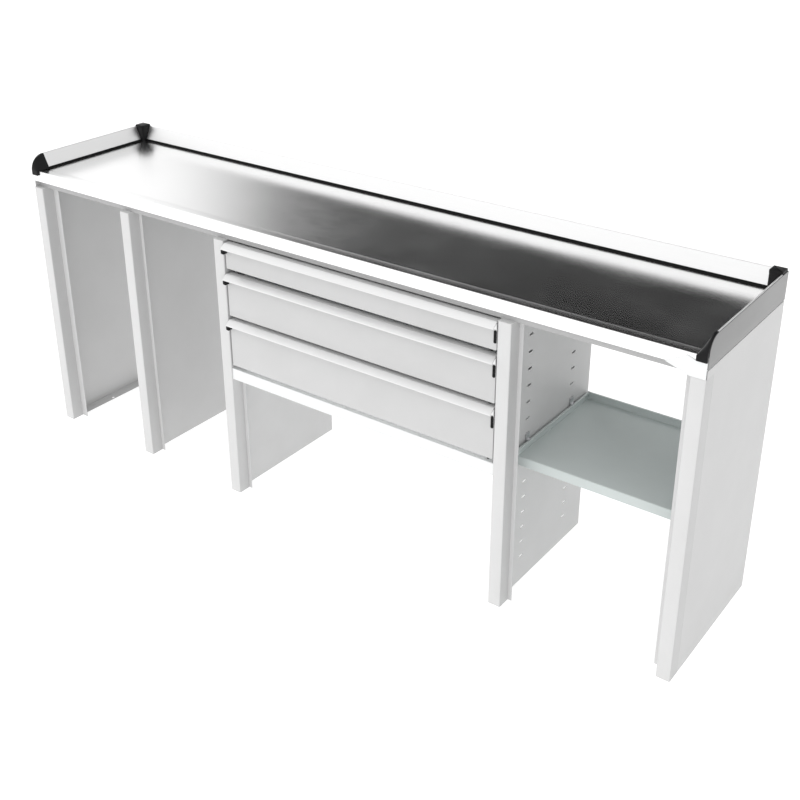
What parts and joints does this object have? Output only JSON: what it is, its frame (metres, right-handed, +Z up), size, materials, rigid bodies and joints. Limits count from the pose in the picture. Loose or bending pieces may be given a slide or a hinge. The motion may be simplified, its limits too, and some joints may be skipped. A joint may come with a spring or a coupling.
{
  "type": "workbench with drawers",
  "caption": "Long sheet-steel workshop bench with a stainless worktop and upstands, a stack of sliding drawers, open bays and a hung shelf.",
  "frame": {"origin": "on the floor, in the middle of the bench's box", "axes": "+X along the bench to the right as seen from the drawers' side, +Y to the rear, +Z up"},
  "size_m": [2.39, 0.516, 0.996],
  "materials": {
    "powder_coat": "light grey powder coat, fine texture",
    "stainless": "brushed stainless sheet",
    "anodised_trim": "satin anodised",
    "handle_aluminium": "bright satin anodised",
    "black_plastic": "moulded, fine grain",
    "seal_rubber": "matt black",
    "zinc_steel": "bright zinc",
    "board": "bare particle board"
  },
  "bodies": {
    "frame": {"column_1": "powder_coat", "column_2": "powder_coat", "column_3": "powder_coat", "column_4": "powder_coat", "column_5": "powder_coat", "panel_left": "powder_coat", "panel_2": "powder_coat", "panel_3": "powder_coat", "panel_4": "powder_coat", "panel_right": "powder_coat", "front_rail": "powder_coat", "rear_rail": "powder_coat", "drawer_sill": "powder_coat", "corner_gusset": "powder_coat", "slide_posts": "powder_coat", "slide_fixed_top": "zinc_steel", "slide_fixed_middle": "zinc_steel", "slide_fixed_bottom": "zinc_steel", "shelf": "powder_coat", "shelf_clips": "zinc_steel", "shelf_strips": "powder_coat", "worktop_skin": "stainless", "worktop_core": "board", "worktop_seal": "seal_rubber", "worktop_screws": "zinc_steel", "upstand_left": "anodised_trim", "upstand_right": "anodised_trim", "upstand_rear": "anodised_trim", "side_plate_left": "anodised_trim", "side_plate_right": "anodised_trim", "corner_post_left": "black_plastic", "corner_post_right": "black_plastic", "end_cap_left": "black_plastic", "end_cap_right": "black_plastic"},
    "drawer_top": {"drawer_front_top": "powder_coat", "drawer_tray_top": "powder_coat", "handle_top": "handle_aluminium", "handle_caps_top": "black_plastic", "bumper_top": "seal_rubber", "slide_inner_top": "zinc_steel"},
    "slide_top": {"slide_mid_top": "zinc_steel"},
    "drawer_middle": {"drawer_front_middle": "powder_coat", "drawer_tray_middle": "powder_coat", "handle_middle": "handle_aluminium", "handle_caps_middle": "black_plastic", "bumper_middle": "seal_rubber", "slide_inner_middle": "zinc_steel"},
    "slide_middle": {"slide_mid_middle": "zinc_steel"},
    "drawer_bottom": {"drawer_front_bottom": "powder_coat", "drawer_tray_bottom": "powder_coat", "handle_bottom": "handle_aluminium", "handle_caps_bottom": "black_plastic", "bumper_bottom": "seal_rubber", "slide_inner_bottom": "zinc_steel"},
    "slide_bottom": {"slide_mid_bottom": "zinc_steel"}
  },
  "joints": [
    {"name": "drawer_top_slide", "type": "slide", "parent": "frame", "child": "drawer_top", "axis": [0, -1, 0], "range_m": [0, 0.42]},
    {"name": "mid_top_slide", "type": "slide", "parent": "frame", "child": "slide_top", "axis": [0, -1, 0], "range_m": [0, 0.21]},
    {"name": "drawer_middle_slide", "type": "slide", "parent": "frame", "child": "drawer_middle", "axis": [0, -1, 0], "range_m": [0, 0.42]},
    {"name": "mid_middle_slide", "type": "slide", "parent": "frame", "child": "slide_middle", "axis": [0, -1, 0], "range_m": [0, 0.21]},
    {"name": "drawer_bottom_slide", "type": "slide", "parent": "frame", "child": "drawer_bottom", "axis": [0, -1, 0], "range_m": [0, 0.42]},
    {"name": "mid_bottom_slide", "type": "slide", "parent": "frame", "child": "slide_bottom", "axis": [0, -1, 0], "range_m": [0, 0.21]}
  ],
  "couplings": [
    {"joint": "mid_top_slide", "follows": "drawer_top_slide", "ratio": 0.5},
    {"joint": "mid_middle_slide", "follows": "drawer_middle_slide", "ratio": 0.5},
    {"joint": "mid_bottom_slide", "follows": "drawer_bottom_slide", "ratio": 0.5}
  ]
}
